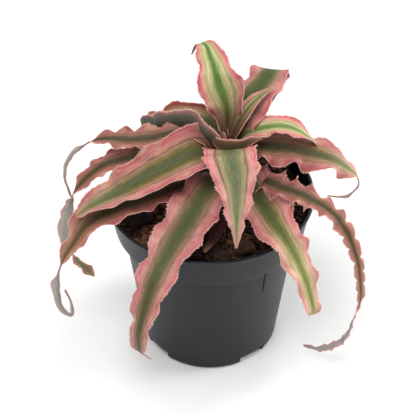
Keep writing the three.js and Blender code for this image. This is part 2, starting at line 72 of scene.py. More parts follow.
# ---- leaves ----
# Each station of a path is reach from the stem's axis, height above the lip, sideways shift, half width and
# the blade's turn in degrees. Ruffle: how far the left and the right margin wave, the length of a wave, and
# where the waves start on each margin. Bands: the colour set near the base, the one towards the tip, and where
# the one gives way to the other, as shares of the length. Scallop: how far the margin's lobes reach out. Base:
# how far the dark foot of the blade runs, its red flush together with painted shade round the crown. Below: the
# underside's colour set, where it isn't the common one.
LEAVES = [
    dict(name="leaf_clasping", heading=0, fold=.05, ruffle=(.1, .1, 9, 0, 1), slot="leaf_fresh",
         bands=("rolled", "rolled", .3, .8), below="sheath",
         path=[(-8.7, 40.9, -1, 1.1, -90), (-6.9, 40, -3.9, 2.9, -80), (-3.8, 39.3, -6.3, 4.1, -77),
               (.4, 39.3, -7.9, 4.8, -77), (5, 40.1, -8.4, 4.1, -76), (9.1, 41.8, -8.1, 3, -76),
               (12.3, 43.4, -7.5, 2.4, -78), (15.5, 44.2, -7, 1.3, -81), (18.7, 44.5, -6.5, .5, -85)]),
    dict(name="leaf_young", heading=38, fold=.4, ruffle=(.3, .3, 14, 0, 2), slot="leaf_fresh",
         bands=("rolled", "rolled", .3, .8), base=30,
         path=[(2, 36, 0, 2.6, 0), (6, 44, 0, 5.6, 0), (11, 50, 0, 6, 0), (17, 55, 0, 4.5, 0),
               (24, 58, 0, 2.6, 0),
               (32, 60, 0, .5, 0)]),
    dict(name="leaf_left_arch", heading=152, fold=1.13, ruffle=(.8, 1, 18, 0, 2), slot="leaf_fresh",
         bands=("arched", "arched", .3, .8), scallop=.4, base=30,
         path=[(2, 32, 0, 4, -6), (8, 35, 0, 11.5, -1), (14, 36, -.5, 13.5, 5), (20.5, 37.5, -.5, 15, 11),
               (26, 37.5, 0, 14.5, 12), (32.5, 35.5, 0, 13.5, 10), (39, 33.5, 0, 11, 8),
               (44.5, 31, 0, 8.5, 12),
               (49.5, 31.5, .5, 7, 21), (51.5, 27, 0, 4.5, 33), (52, 22, -1.5, 1.5, 46)]),
    dict(name="leaf_top", heading=107, fold=.18, ruffle=(1.2, 1.4, 19, 0, 2), slot="leaf_fresh",
         bands=("bright", "bright", .3, .8), scallop=.8, base=48,
         path=[(2, 34, -.5, 3, 0), (6, 45, -1.4, 6, 0), (9, 54, -1.6, 9.8, 0), (13, 60, -.7, 12.4, 0),
               (17, 65, .5, 12.4, 0), (21, 70, 1, 10.6, 0), (25, 73.5, 1.5, 8.8, 0), (29, 76, 2, 7.4, 0),
               (34, 78, 2, 5.6, 0), (38, 77.6, 2.5, 4.4, 0), (42, 75.5, 3.5, 3.2, 0),
               (44.5, 71.5, 5.5, 2.2, 0),
               (45, 67, 7.5, .5, 0)]),
    dict(name="leaf_right_arch", heading=4, fold=.3, ruffle=(1.2, 1.6, 20, 1, 4), slot="leaf_fresh",
         bands=("arching", "arching", .3, .8), scallop=.5,
         path=[(2, 32, 0, 3, 0), (8, 40, 0, 5.6, 4), (13, 43, 0, 7, 6), (19, 45, 0, 7.6, 8),
               (26, 46, 0, 7.8, 10),
               (33, 45, 0, 7.2, 10), (40, 41.5, 0, 5.4, 8), (46, 36, 0, 3.4, 0), (50, 31, 0, 1.8, 0),
               (53, 27.5, 0, .5, 0)]),
    dict(name="leaf_front", heading=-84, fold=.1, ruffle=(1.5, 1.6, 17, 0, 3), slot="leaf_fresh",
         bands=("front", "pale", .45, 1), scallop=.9, base=7,
         path=[(1, 30.5, 0, 9, 0), (4, 33.9, 0, 12.6, 0), (9, 37.7, -.5, 14, 0), (15, 41.3, -1, 14.2, 0),
               (22, 43.3, -1, 14.6, 0), (32, 40.5, -.5, 13, 0), (38, 37, 0, 10.5, 0), (45, 32, -.5, 8, 0),
               (54, 25, -1.5, 4.6, 0), (60, 19, -2, 1.8, 0), (63.5, 14.5, -2.5, .5, 0)]),
    dict(name="leaf_back_right", heading=58, fold=.05, ruffle=(1.8, 1.6, 19, 1, 2), slot="leaf_grown",
         bands=("deep", "deep", .3, .8), scallop=.9,
         path=[(2, 27, 0, 3, 0), (8, 37, 0, 9, -5), (13, 45, 0, 13, -10), (21, 50.5, 0, 15, -14),
               (30, 53, 0, 14.5, -14), (39, 54.5, 0, 13, -14), (46, 55.5, .5, 11.4, -12),
               (52, 53, 2, 9.8, -5),
               (57, 46, 4, 8.5, 0), (60, 37, 6, 6.5, 0), (62, 27, 8, 3.5, 0), (62, 19, 9, .6, 0)]),
    dict(name="leaf_left", heading=200, fold=.5, ruffle=(1.6, 1.6, 22, 3, 2), slot="leaf_grown",
         bands=("olive", "pale", .55, 1.1), scallop=.9,
         path=[(2, 28, 0, 3, -10), (8, 32, 0, 9, -18), (15, 34, 0, 14.5, -25), (26, 33, 0, 15.5, -27),
               (38, 28.5, 0, 14.5, -27), (50, 24, 0, 13, -25), (62, 19.5, 0, 10.8, -25),
               (74, 15.5, 0, 8.2, -20),
               (83, 11.8, 0, 5.4, -15), (87, 9.5, 0, 3.8, -10), (90, 8, 0, .8, 0)]),
    dict(name="leaf_right", heading=-3, fold=.02, ruffle=(1.2, 4.6, 20, 2.6, 2.3), slot="leaf_grown",
         bands=("dusky", "pale", .35, .8), scallop=1,
         path=[(2, 26, 0, 3, 0), (8, 31, 0, 6.5, 6), (14, 33.5, 0, 9, 12), (22, 34, 0, 10.5, 18),
               (32, 33.5, 0, 11, 18), (40, 32, 0, 11, 18), (49, 30, 0, 10.5, 18), (56, 28, 0, 9.5, 18),
               (63, 24, 0, 8, 15), (69, 19, 0, 5, 10), (73, 14.5, 0, 2.2, 0), (74.5, 8.5, 0, 1.4, 0),
               (72.5, 4, 0, 1.2, 0), (68, 0, 0, 1, 0), (62, -1, 0, .7, 0), (57, -.5, 0, .5, 0)]),
    dict(name="leaf_left_back", heading=175, fold=.2, ruffle=(2.4, 1.8, 13, 5, 2), slot="leaf_old",
         bands=("dusky", "dusky", .3, .8), scallop=1.3,
         path=[(2, 24.2, 0, 3, 0), (8, 32, 0, 5.2, -5), (16, 38, -2, 6, -15), (24, 39.5, -3, 7, -20),
               (33, 38, -2.5, 7, -20), (44, 35, -1, 8, -20), (55, 34, 0, 7.5, -20), (66, 34, 0, 5.5, -20),
               (73, 33, 0, 3.2, -20), (79, 30, 0, 1.3, 30), (84, 26, 0, 1.4, 80), (89, 21, 0, 1.3, 90),
               (93, 12, 0, 1, 90), (94, 3, 0, .8, 90), (92, -8, 0, .6, 90), (90, -14, 0, .5, 90)]),
    dict(name="leaf_back_left", heading=140, fold=.1, ruffle=(1.2, 1.2, 18, 0, 2), slot="leaf_old",
         bands=("dusky", "dusky", .3, .8),
         path=[(2, 21, 0, 3, 0), (8, 28, 0, 6, 0), (14, 33, 0, 8, 0), (21, 35, 0, 9, 0), (28, 35, 0, 8.5, 0),
               (34, 34, 0, 7.5, 0), (38.5, 31, 0, 6.5, 0), (41.5, 26, 0, 5.5, 0), (43, 19, 0, 4.5, 0),
               (43.5, 10, 0, 3, 0), (43, 1, 0, .6, 0)]),
    dict(name="leaf_left_rear", heading=178, fold=.2, ruffle=(1.8, 1.8, 13, 1, 2), slot="leaf_old",
         bands=("dusky", "verdant", .62, .8), scallop=.8,
         path=[(2, 18, 0, 3, 0), (12, 22, 0, 6, 0), (22, 24.5, 0, 8, -10), (38, 25, 0, 9, -20),
               (47, 24.5, 0, 8.5, -20), (55, 23, 0, 8, -20), (62, 21, 0, 7, -20), (70, 17.5, 0, 6, -25),
               (77, 11.5, 0, 4.8, -35), (83.5, 4, 0, 3.8, -45), (88.5, -4, 0, 2.2, 0), (91, -11, 0, 2.6, 60),
               (93.5, -20, 0, 3.4, 85), (96, -32, 0, 3.6, 90), (96, -41, 0, 3, 70), (93, -50, 0, 2.6, -20),
               (87, -59, 0, 4.2, -70), (83, -65, 0, 3.4, -80), (80, -70, 0, .6, -80)]),
    dict(name="leaf_front_right", heading=-56, fold=.06, ruffle=(2, 2.2, 22, 2, 4), slot="leaf_grown",
         bands=("olive", "cream", .35, .75), scallop=1.1,
         path=[(2, 19, 0, 3, 0), (8, 21.5, 0, 7, 0), (14, 22.5, 0, 10, 0), (26, 19, 0, 13.4, 0),
               (37, 14, 0, 14, 0),
               (47, 9, 0, 12.6, 0), (58, 5, 0, 10, 0), (68, -2, 0, 8.6, 0), (75, -9, 0, 6.8, 0),
               (80, -17, 0, 5.4, 0), (83, -24, 0, 5, 0), (83.6, -26.5, 0, 4.3, 0), (83, -29.5, 0, 3.1, 0),
               (82, -31.3, 0, .9, 0)]),
    dict(name="leaf_back_right_low", heading=30, fold=.1, ruffle=(1, 1, 17, 0, 3), slot="leaf_old",
         bands=("dusky", "dusky", .3, .8),
         path=[(2, 20, 0, 3, 0), (9, 22.5, 0, 4.6, 0), (16, 22.5, 0, 5.4, 0), (30, 18.5, 0, 5.8, 0),
               (42, 13.5, 0, 5.4, 0), (52, 7.5, 0, 4.6, 0), (59, -1, 0, 3.2, 0), (63, -10, 0, .6, 0)]),
    dict(name="leaf_back", heading=95, fold=.1, ruffle=(1.5, 1.5, 19, 0, 3), slot="leaf_old",
         bands=("dusky", "dusky", .3, .8),
         path=[(2, 16, 0, 3, 0), (10, 20, 0, 6.5, 0), (18, 22.5, 0, 9, 0), (30, 22, 0, 10, 0),
               (44, 17, 0, 9.5, 0),
               (56, 9, 0, 8, 0), (65, -2, 0, 6, 0), (70, -15, 0, 3.5, 0), (71, -27, 0, .6, 0)]),
    dict(name="leaf_front_left", heading=-121, fold=.06, ruffle=(2, 2, 21, 1, 2), slot="leaf_grown",
         bands=("umber", "dusty", .55, 1), scallop=1,
         path=[(2, 14, 0, 3, 0), (8, 17.5, 0, 7, 0), (15, 19, 0, 11, 0), (28, 16, 0, 14, 0),
               (42, 11, 0, 14.3, 0),
               (54, 7, 0, 13.6, 0), (66, 2, 0, 11.5, 0), (77, -5, 0, 10.5, 0), (85, -14, 0, 8.7, 0),
               (91, -24, 0, 6.6, 0), (95, -33, 0, 5.6, 0), (95, -43, 0, 4.2, 0), (94, -48, 0, 2, 0),
               (92, -52, 2, .8, 0), (91, -54, 5, .5, 0)]),
    dict(name="leaf_left_low", heading=201, fold=.5, ruffle=(2.2, 2.2, 19, 1, 4), slot="leaf_old",
         bands=("dusky", "tan", .35, .6), scallop=1.9,
         path=[(2, 9, 0, 3, 0), (12, 12, 0, 4.2, -12), (23, 13.6, 0, 6.6, -24), (46, 11, 0, 11, -22),
               (60, 9, 0, 11, -22),
               (71, 7, 0, 10.8, -22), (80, 4, 0, 9.4, -22), (87, -2, 0, 8, -25), (92, -9, 0, 6, -35),
               (97, -16, 0, 3.6, -45), (100, -22, 0, 1.8, -20), (102.5, -29, 0, 2.2, 45),
               (104, -36, 0, 2.8, 80),
               (105, -44, 0, 2.4, 90), (104, -54, 0, 2.1, 90), (101, -62, 0, 1.7, 90), (97, -66, 0, 1.1, 90),
               (96, -62, -1, .9, 90), (97, -54, -2, .7, 90), (99, -47, -3, .5, 90)]),
    dict(name="leaf_right_low", heading=-35, fold=.05, ruffle=(2.4, 2.4, 10.5, 0, 3), slot="leaf_old",
         bands=("dusky", "tan", .35, .6), scallop=2,
         path=[(2, 9, 0, 3, 0), (10, 15, 0, 5, 10), (18, 19, 0, 7, 15), (28, 21, 0, 8, 15),
               (37, 21, 0, 7.5, 15),
               (45, 22, 0, 7, 15), (52, 22, 0, 6.6, 15), (59, 21.5, 0, 6, 10), (65, 20.5, 0, 5, 10),
               (71, 18, 0, 5, 10), (76, 13.5, 0, 4.2, 25), (81, 7.5, 0, 3.6, 45), (85, -1, 0, 3.1, 55),
               (88, -9, 0, 2.6, 60), (89.5, -18, 0, 2.4, 60), (91, -29, 0, 2, 60), (90.5, -40, 0, 1.3, 20),
               (88, -52, 0, 1.3, -30), (85.5, -64, 0, 1.3, -60), (81.5, -74, 0, 1.6, -70),
               (74.5, -83, 0, 2, -80),
               (66.5, -90, 0, 1.7, -80), (56, -93.5, 0, .5, -80)]),
    dict(name="leaf_withered", heading=-99, fold=0, ruffle=(.3, .3, 12, 0, 1), slot="leaf_dry",
         bands=("dry", "dry", .3, .8),
         path=[(2, 6, 0, 2.4, 0), (9, 4, 0, 3.6, 0), (18, 1, 0, 4.2, 0), (28, -2, -1, 4, 0),
               (38, -3.6, -3, 3, 0),
               (48, -4.2, -6, .8, 0)]),
]

# Colour sets across half a blade, from the midrib to the margin, at the shares of the half width in BAND_AT.
BAND_AT = (0, .12, .24, .34, .44, .5, .56, .68, .84, .97)
BANDS = {
    "bright": "4c7a2e 668c3e a9b070 c8be86 d8c694 a0aa68 aeac74 dca88c d87478 c85262",
    "rolled": "4a662c 5f7638 94905a b8a47c a48c64 6e6a3e 8c7452 ae7c64 be6e6c c05c62",
    "arching": "5c7a3c 738a46 989e60 c0b486 c8b68e 90905a cfa886 db9484 d46c72 c4525c",
    "arched": "4c6232 50682f 587034 60783a 5c7c38 587a34 8a9852 c8bc88 cf8a78 c8525e",
    "front": "626a48 687049 787a4e 8a8658 a2946c a08a66 7a5848 d2948a d68a86 cc5e68",
    "deep": "465628 4c5a2a 56602e 66663a 7e7048 967a5c b08878 c2847c d0787a c86064",
    "olive": "4a5226 525829 66602f 8c774c b08c6c 8e6450 c28a7c cf827c c87474 c26066",
    "umber": "46502a 50542c 5e5a32 786446 98765c 86604c b27e6e ca847c ca7a7a c26a72",
    "dusky": "423c24 4b4228 604a32 845c46 98684f 7e5242 9e6858 ae6c60 b46466 ac565c",
    "pale": "74764a 7e814e 968e64 b0a07a c0ab86 a88c70 c89e88 ce9088 cc8080 c26a70",
    "cream": "707636 7e823e 9e9c60 b8ac78 c4b486 b0a074 c6ae88 cfa28c d4928a c87678",
    "tan": "584630 6a5038 8a6248 9e7258 a88064 906852 b0866c ba8a70 c07872 bc646a",
    "dusty": "4c482e 565032 6e5842 8e6a5a a07464 846254 a47268 a8726c ac7676 ae7078",
    "verdant": "566236 5e6c3a 6e7a44 7c8250 868458 8c7e58 a07864 b87870 c46e72 be5e66",
    "sheath": "54452e 5a4830 5c4a32 604c34 624c36 664c38 6a4e3a 7c5644 a86e5e dca294",
    "curl": "5a5c34 626238 6c683e 7a7048 7c6c48 746040 8c7654 b09a74 d0bf96 d8b49c",
    "dry": "3a1416 421719 4a1a1c 541d20 561f22 4c1a1d 4c1a1d 4a181b 421518 3a1214",
}
UNDERSIDE = "a2a298 a6a49a aaa69e aeaaa2 b2aaa4 aea29c b8a8a4 c2aaaa ca9aa2 d0788c"
UNDERSIDE_FRESH = "4c5648 4e5848 525a4a 565c4c 5a5c4e 5c5a4c 585a4c 565a4c 5c584c a4686a"

# the dark foot is partly the blade's red flush and partly painted shade from the crowded crown
FOOT_FLUSH_AND_SHADE_RUN = 24  # how far the dark foot of a blade runs where a leaf gives none

# ---- small helpers ----


def colour(code):
    """An sRGB hex value as linear red, green, blue and alpha."""
    parts = [int(code[i:i + 2], 16) / 255 for i in (0, 2, 4)]
    return [c / 12.92 if c <= .04045 else ((c + .055) / 1.055) ** 2.4 for c in parts] + [1]


def add(tree, kind, settings=None, links=None, out=0):
    """Adds a node with its settings and links and returns one of its outputs. A setting's key is a property's name
    or an input's name or number, and a link's value is another node's output."""
    node = tree.nodes.new(kind)
    for key, value in (settings or {}).items():
        if isinstance(key, str) and hasattr(node, key) and key not in node.inputs:
            setattr(node, key, value)
        else:
            node.inputs[key].default_value = value
    for key, source in (links or {}).items():
        tree.links.new(source, node.inputs[key])
    return node.outputs[out] if node.outputs else None


def ramp(tree, factor, stops):
    """Colours along a factor, from (place, hex value) stops."""
    out = add(tree, "ShaderNodeValToRGB", None, {0: factor})
    elements = out.node.color_ramp.elements
    while len(elements) < len(stops):
        elements.new(0)
    for element, (place, code) in zip(elements, stops):
        element.position = place
        element.color = colour(code)
    return out


def finish_material(name, **values):
    """A Principled material with these values on its own sockets."""
    material = bpy.data.materials.new(name)
    material.use_nodes = True
    shader = material.node_tree.nodes["Principled BSDF"]
    for key, value in values.items():
        shader.inputs[key.replace("_", " ")].default_value = value
    return material, material.node_tree, shader


def spot(tree):
    """Where a point is on the object, in metres."""
    return add(tree, "ShaderNodeTexCoord", None, None, 3)


def relief(tree, shader, height, strength, depth):
    """Fine relief on a finish, with its depth in millimetres."""
    bump = add(tree, "ShaderNodeBump", {"Strength": strength, "Distance": depth * MM}, {"Height": height})
    tree.links.new(bump, shader.inputs["Normal"])


def piece(name, points, faces, material, smooth=True):
    """A mesh piece from points in millimetres."""
    mesh = bpy.data.meshes.new(name)
    mesh.from_pydata((np.asarray(points) * MM).tolist(), [], faces)
    mesh.validate()
    mesh.materials.append(material)
    mesh.polygons.foreach_set("use_smooth", [smooth] * len(mesh.polygons))
    obj = bpy.data.objects.new(name, mesh)
    bpy.context.scene.collection.objects.link(obj)
    return obj


def mark(obj, name, values, kind="FLOAT"):
    """Stores a value on each point of a piece."""
    values = np.asarray(values, np.float32)
    attribute = obj.data.attributes.new(name, kind, "POINT")
    attribute.data.foreach_set("vector" if kind == "FLOAT_VECTOR" else "value", values.ravel())


def grow(obj, tree, **values):
    """Runs a node tree on a piece, with these named inputs, and keeps the result as its plain mesh."""
    modifier = obj.modifiers.new(tree.name, "NODES")
    modifier.node_group = tree
    for item in tree.interface.items_tree:
        if item.item_type == "SOCKET" and item.in_out == "INPUT" and item.name in values:
            modifier[item.identifier] = values[item.name]
    graph = bpy.context.evaluated_depsgraph_get()
    grown = obj.evaluated_get(graph)
    mesh = bpy.data.meshes.new_from_object(grown, preserve_all_data_layers=True, depsgraph=graph)
    obj.modifiers.clear()
    obj.data = mesh
    return obj


def own(obj, slot, *nodes):
    """The piece rides on the one body and stands for these nodes. The slot it is given is not used."""
    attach(obj, "root")
    if nodes:
        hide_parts(*nodes)


def smooth_step(x):
    """A soft switch from 0 to 1."""
    x = np.clip(x, 0, 1)
    return x * x * (3 - 2 * x)


def grain(x, y, seed, layers=4):
    """A smooth uneven field from -1 to 1 over a plane, from sums of turned waves."""
    rng = np.random.default_rng(seed)
    total = np.zeros_like(np.asarray(x, float))
    for k in range(layers * 5):
        turn, phase = rng.uniform(0, math.tau, 2)
        pitch = 1.7 ** (k / 5) * rng.uniform(.8, 1.25)
        total += np.sin((x * math.cos(turn) + y * math.sin(turn)) * pitch + phase) / pitch ** .8
    return total / 3


def tube(rows, count):
    """Faces between closed rings of points, one ring after another."""
    return [(i * count + j, i * count + (j + 1) % count, (i + 1) * count + (j + 1) % count, (i + 1) * count + j)
            for i in range(rows) for j in range(count)]


# ---- leaf shape ----
def spline(rows, steps=24):
    """Rows of values along a smooth curve through the given rows."""
    rows = np.asarray(rows, float)
    rows = np.vstack([2 * rows[0] - rows[1], rows, 2 * rows[-1] - rows[-2]])
    t = (np.arange(steps) / steps)[:, None]
    out = []
    for p0, p1, p2, p3 in zip(rows, rows[1:], rows[2:], rows[3:]):
        out.append(.5 * (2 * p1 + (p2 - p0) * t + (2 * p0 - 5 * p1 + 4 * p2 - p3) * t ** 2
                         + (3 * p1 - p0 - 3 * p2 + p3) * t ** 3))
    return np.vstack(out + [rows[-2:-1]])


def leaf_frame(leaf, step):
    """Points along the midrib, with the blade's side and up directions and half width at each."""
    heading = math.radians(leaf["heading"])
    outward = np.array([math.cos(heading), math.sin(heading), 0])
    left = np.array([-outward[1], outward[0], 0])
    form = spline(leaf["path"])
    path = np.array([STEM_X, 0, LIP]) + form[:, :1] * outward + form[:, 2:3] * left
    path[:, 2] += form[:, 1]
    along = np.r_[0, np.cumsum(np.linalg.norm(np.diff(path, axis=0), axis=1))]
    reach = np.linspace(0, along[-1], max(12, round(along[-1] / step)) + 1)
    mid = np.stack([np.interp(reach, along, path[:, k]) for k in range(3)], 1)
    half = np.maximum(np.interp(reach, along, form[:, 3]), .4)
    turn = np.radians(np.interp(reach, along, form[:, 4]))[:, None]
    tangent = np.gradient(mid, axis=0)
    tangent /= np.linalg.norm(tangent, axis=1)[:, None]
    sides, side = [], left
    for t in tangent:
        side = side - side.dot(t) * t
        side = side / np.linalg.norm(side)
        sides.append(side)
    sides = np.array(sides)
    ups = np.cross(tangent, sides)
    across = np.cos(turn) * sides + np.sin(turn) * ups
    normal = np.cos(turn) * ups - np.sin(turn) * sides
    return reach, mid, tangent, across, normal, half


LEAF_STEP = 1.1  # between rows of points along a blade
BLADE_HALF = .5  # half the thickness along the midrib
MARGIN_HALF = .22  # half the thickness at the margin
MARGIN_ROUND = .18  # how far the margin's edge stands out past the two faces
SERRATION = 3.7  # length of one fine notch of the margin
SERRATION_BEAT = 9.7  # length over which the notches grow and fade
SERRATION_DEPTH = .36
SCALLOP = .4  # reach of the lobes where a leaf gives none
# places across a blade, closer at the margins
STATIONS = np.sin(np.linspace(-1, 1, 29) * math.pi / 2 * .86) / math.sin(math.pi / 2 * .86)
DATA = ("across", "along", "tip", "under", "margin", "edge")


def leaf_piece(leaf, index, material, tooth_material):
    """One blade, closed all round, with waved, lobed and notched margins and the values its finish reads."""
    reach, mid, tangent, across, normal, half = leaf_frame(leaf, LEAF_STEP)
    length = reach[-1]
    amp_left, amp_right, wave, phase_left, phase_right = leaf["ruffle"]
    rng = np.random.default_rng(SEED + index)
    beat, slip = rng.uniform(.42, .6), rng.uniform(0, math.tau)
    ring = [(v, 0) for v in STATIONS] + [(1, .5)] + [(v, 1) for v in STATIONS[::-1]] + [(-1, .5)]
    count, rows = len(ring), len(reach)
    points, spine = np.zeros((rows, count, 3)), np.zeros((rows, count, 3))
    data = {key: np.zeros((rows, count)) for key in DATA}
    open_out = np.minimum(1, half / 8) * np.minimum(1, reach / 15)
    for j, (v, under) in enumerate(ring):
        side = math.copysign(1, v)
        amp, phase = (amp_left, phase_left) if v > 0 else (amp_right, phase_right)
        swing = 2 * math.pi * reach / wave + phase
        swing = swing + .7 * np.sin(swing / 3.3 + slip * (2 if v > 0 else 3))
        crinkle = np.sin(swing) + .35 * np.sin(swing / beat + slip)
        ripple = amp * open_out * abs(v) ** 2.4 * crinkle
        lobe = np.sin(swing + 1.3) + .45 * np.sin(swing / beat + slip * 2)
        beating = .6 + .4 * np.sin(2 * math.pi * reach / SERRATION_BEAT + slip + v)
        nick = np.sin(2 * math.pi * reach / SERRATION + slip * 3 + v) * beating
        lobes = leaf.get("scallop", SCALLOP) * abs(v) ** 3 * lobe
        scallop = open_out * (lobes + SERRATION_DEPTH * v ** 8 * nick) * side
        thick = (BLADE_HALF * (1 - v * v) + MARGIN_HALF * v * v) * (.55 + .45 * np.minimum(1, half / 6))
        thick = thick * (1 - 2 * under)
        bend = leaf["fold"] * abs(v)
        # the blade's own slope across, so that its thickness stands square to its faces
        lean = side * math.atan2(1.5 * abs(v) ** .5 * math.sin(leaf["fold"]),
                                 math.cos(bend) - bend * math.sin(bend))
        reach_out = scallop + MARGIN_ROUND * (under == .5) * side
        lateral = half * v * math.cos(bend) + reach_out * math.cos(lean) - thick * math.sin(lean)
        rise = (half * abs(v) ** 1.5 * math.sin(leaf["fold"]) + reach_out * math.sin(lean) + ripple
                + thick * math.cos(lean))
        points[:, j] = mid + across * lateral[:, None] + normal * rise[:, None]
        spine[:, j] = (across * math.cos(lean) + normal * math.sin(lean)) * side + .55 * tangent
        for key, value in (("across", v), ("along", reach), ("tip", length - reach), ("under", under),
                           ("margin", float(under == .5)), ("edge", half * (1 - abs(v)))):
            data[key][:, j] = value
    faces = tube(rows - 1, count)
    last = (rows - 1) * count
    faces += [tuple(range(count))[::-1], tuple(last + j for j in range(count))]
    obj = piece(leaf["name"] + "_blade", points.reshape(-1, 3), [f[::-1] for f in faces], material)
    for key, value in data.items():
        mark(obj, key, value)
    mark(obj, "share", np.repeat(reach / length, count))
    mark(obj, "spine", spine, "FLOAT_VECTOR")
    mark(obj, "vigour", np.repeat(np.minimum(1, half / 4) * np.minimum(1, reach / 10), count))
    obj.data.materials.append(tooth_material)
    return obj


def node_tree(name, sizes, finish):
    """An empty geometry tree with named inputs: a mesh, sizes, a seed and a material."""
    tree = bpy.data.node_groups.new(name, "GeometryNodeTree")
    face = tree.interface
    face.new_socket("Geometry", in_out="OUTPUT", socket_type="NodeSocketGeometry")
    face.new_socket("Geometry", in_out="INPUT", socket_type="NodeSocketGeometry")
    for label in sizes:
        face.new_socket(label, in_out="INPUT", socket_type="NodeSocketFloat")
    face.new_socket("Seed", in_out="INPUT", socket_type="NodeSocketInt")
    face.new_socket(finish, in_out="INPUT", socket_type="NodeSocketMaterial")
    return tree, tree.nodes.new("NodeGroupInput").outputs


def teeth_tree():
    """Small hooked teeth along the points marked as margin, leaning towards the tip."""
    tree, ins = node_tree("marginal_teeth", ("Spacing", "Tooth Length", "Tooth Width"), "Tooth Material")
    margin = add(tree, "GeometryNodeInputNamedAttribute", {"data_type": "FLOAT", "Name": "margin"})
    chosen = add(tree, "FunctionNodeCompare", {"operation": "GREATER_THAN", "B": .9}, {"A": margin})
    line = add(tree, "GeometryNodeMeshToCurve", None, {"Mesh": ins["Geometry"], "Selection": chosen})
    spaced = add(tree, "GeometryNodeResampleCurve", {"mode": "LENGTH"}, {"Curve": line, "Length": ins["Spacing"]})
    tooth = add(tree, "GeometryNodeMeshCone", {"Vertices": 5, "Radius Top": 0, "fill_type": "NGON"},
                {"Radius Bottom": ins["Tooth Width"], "Depth": ins["Tooth Length"]})
    flat = add(tree, "GeometryNodeTransform", {"Scale": (1, .55, 1), "Translation": (0, 0, -.12 * MM)}, {0: tooth})
    lean = add(tree, "GeometryNodeInputNamedAttribute", {"data_type": "FLOAT_VECTOR", "Name": "spine"})
    run = add(tree, "GeometryNodeInputTangent")
    turn = add(tree, "FunctionNodeAxesToRotation", {"primary_axis": "Z", "secondary_axis": "X"},
               {"Primary Axis": lean, "Secondary Axis": run})
    vigour = add(tree, "GeometryNodeInputNamedAttribute", {"data_type": "FLOAT", "Name": "vigour"})
    size = add(tree, "FunctionNodeRandomValue", {"data_type": "FLOAT", 2: .45, 3: 1.25}, {"Seed": ins["Seed"]}, 1)
    scaled = add(tree, "ShaderNodeMath", {"operation": "MULTIPLY"}, {0: vigour, 1: size})
    keep = add(tree, "FunctionNodeCompare", {"operation": "GREATER_THAN", "B": .2}, {"A": vigour})
    set_out = add(tree, "GeometryNodeInstanceOnPoints", None,
                  {"Points": spaced, "Selection": keep, "Instance": flat, "Rotation": turn, "Scale": scaled})
    real = add(tree, "GeometryNodeRealizeInstances", None, {0: set_out})
    painted = add(tree, "GeometryNodeSetMaterial", None, {"Geometry": real, "Material": ins["Tooth Material"]})
    joined = add(tree, "GeometryNodeJoinGeometry")
    for source in (painted, ins["Geometry"]):
        tree.links.new(source, joined.node.inputs[0])
    add(tree, "NodeGroupOutput", None, {0: joined})
    return tree


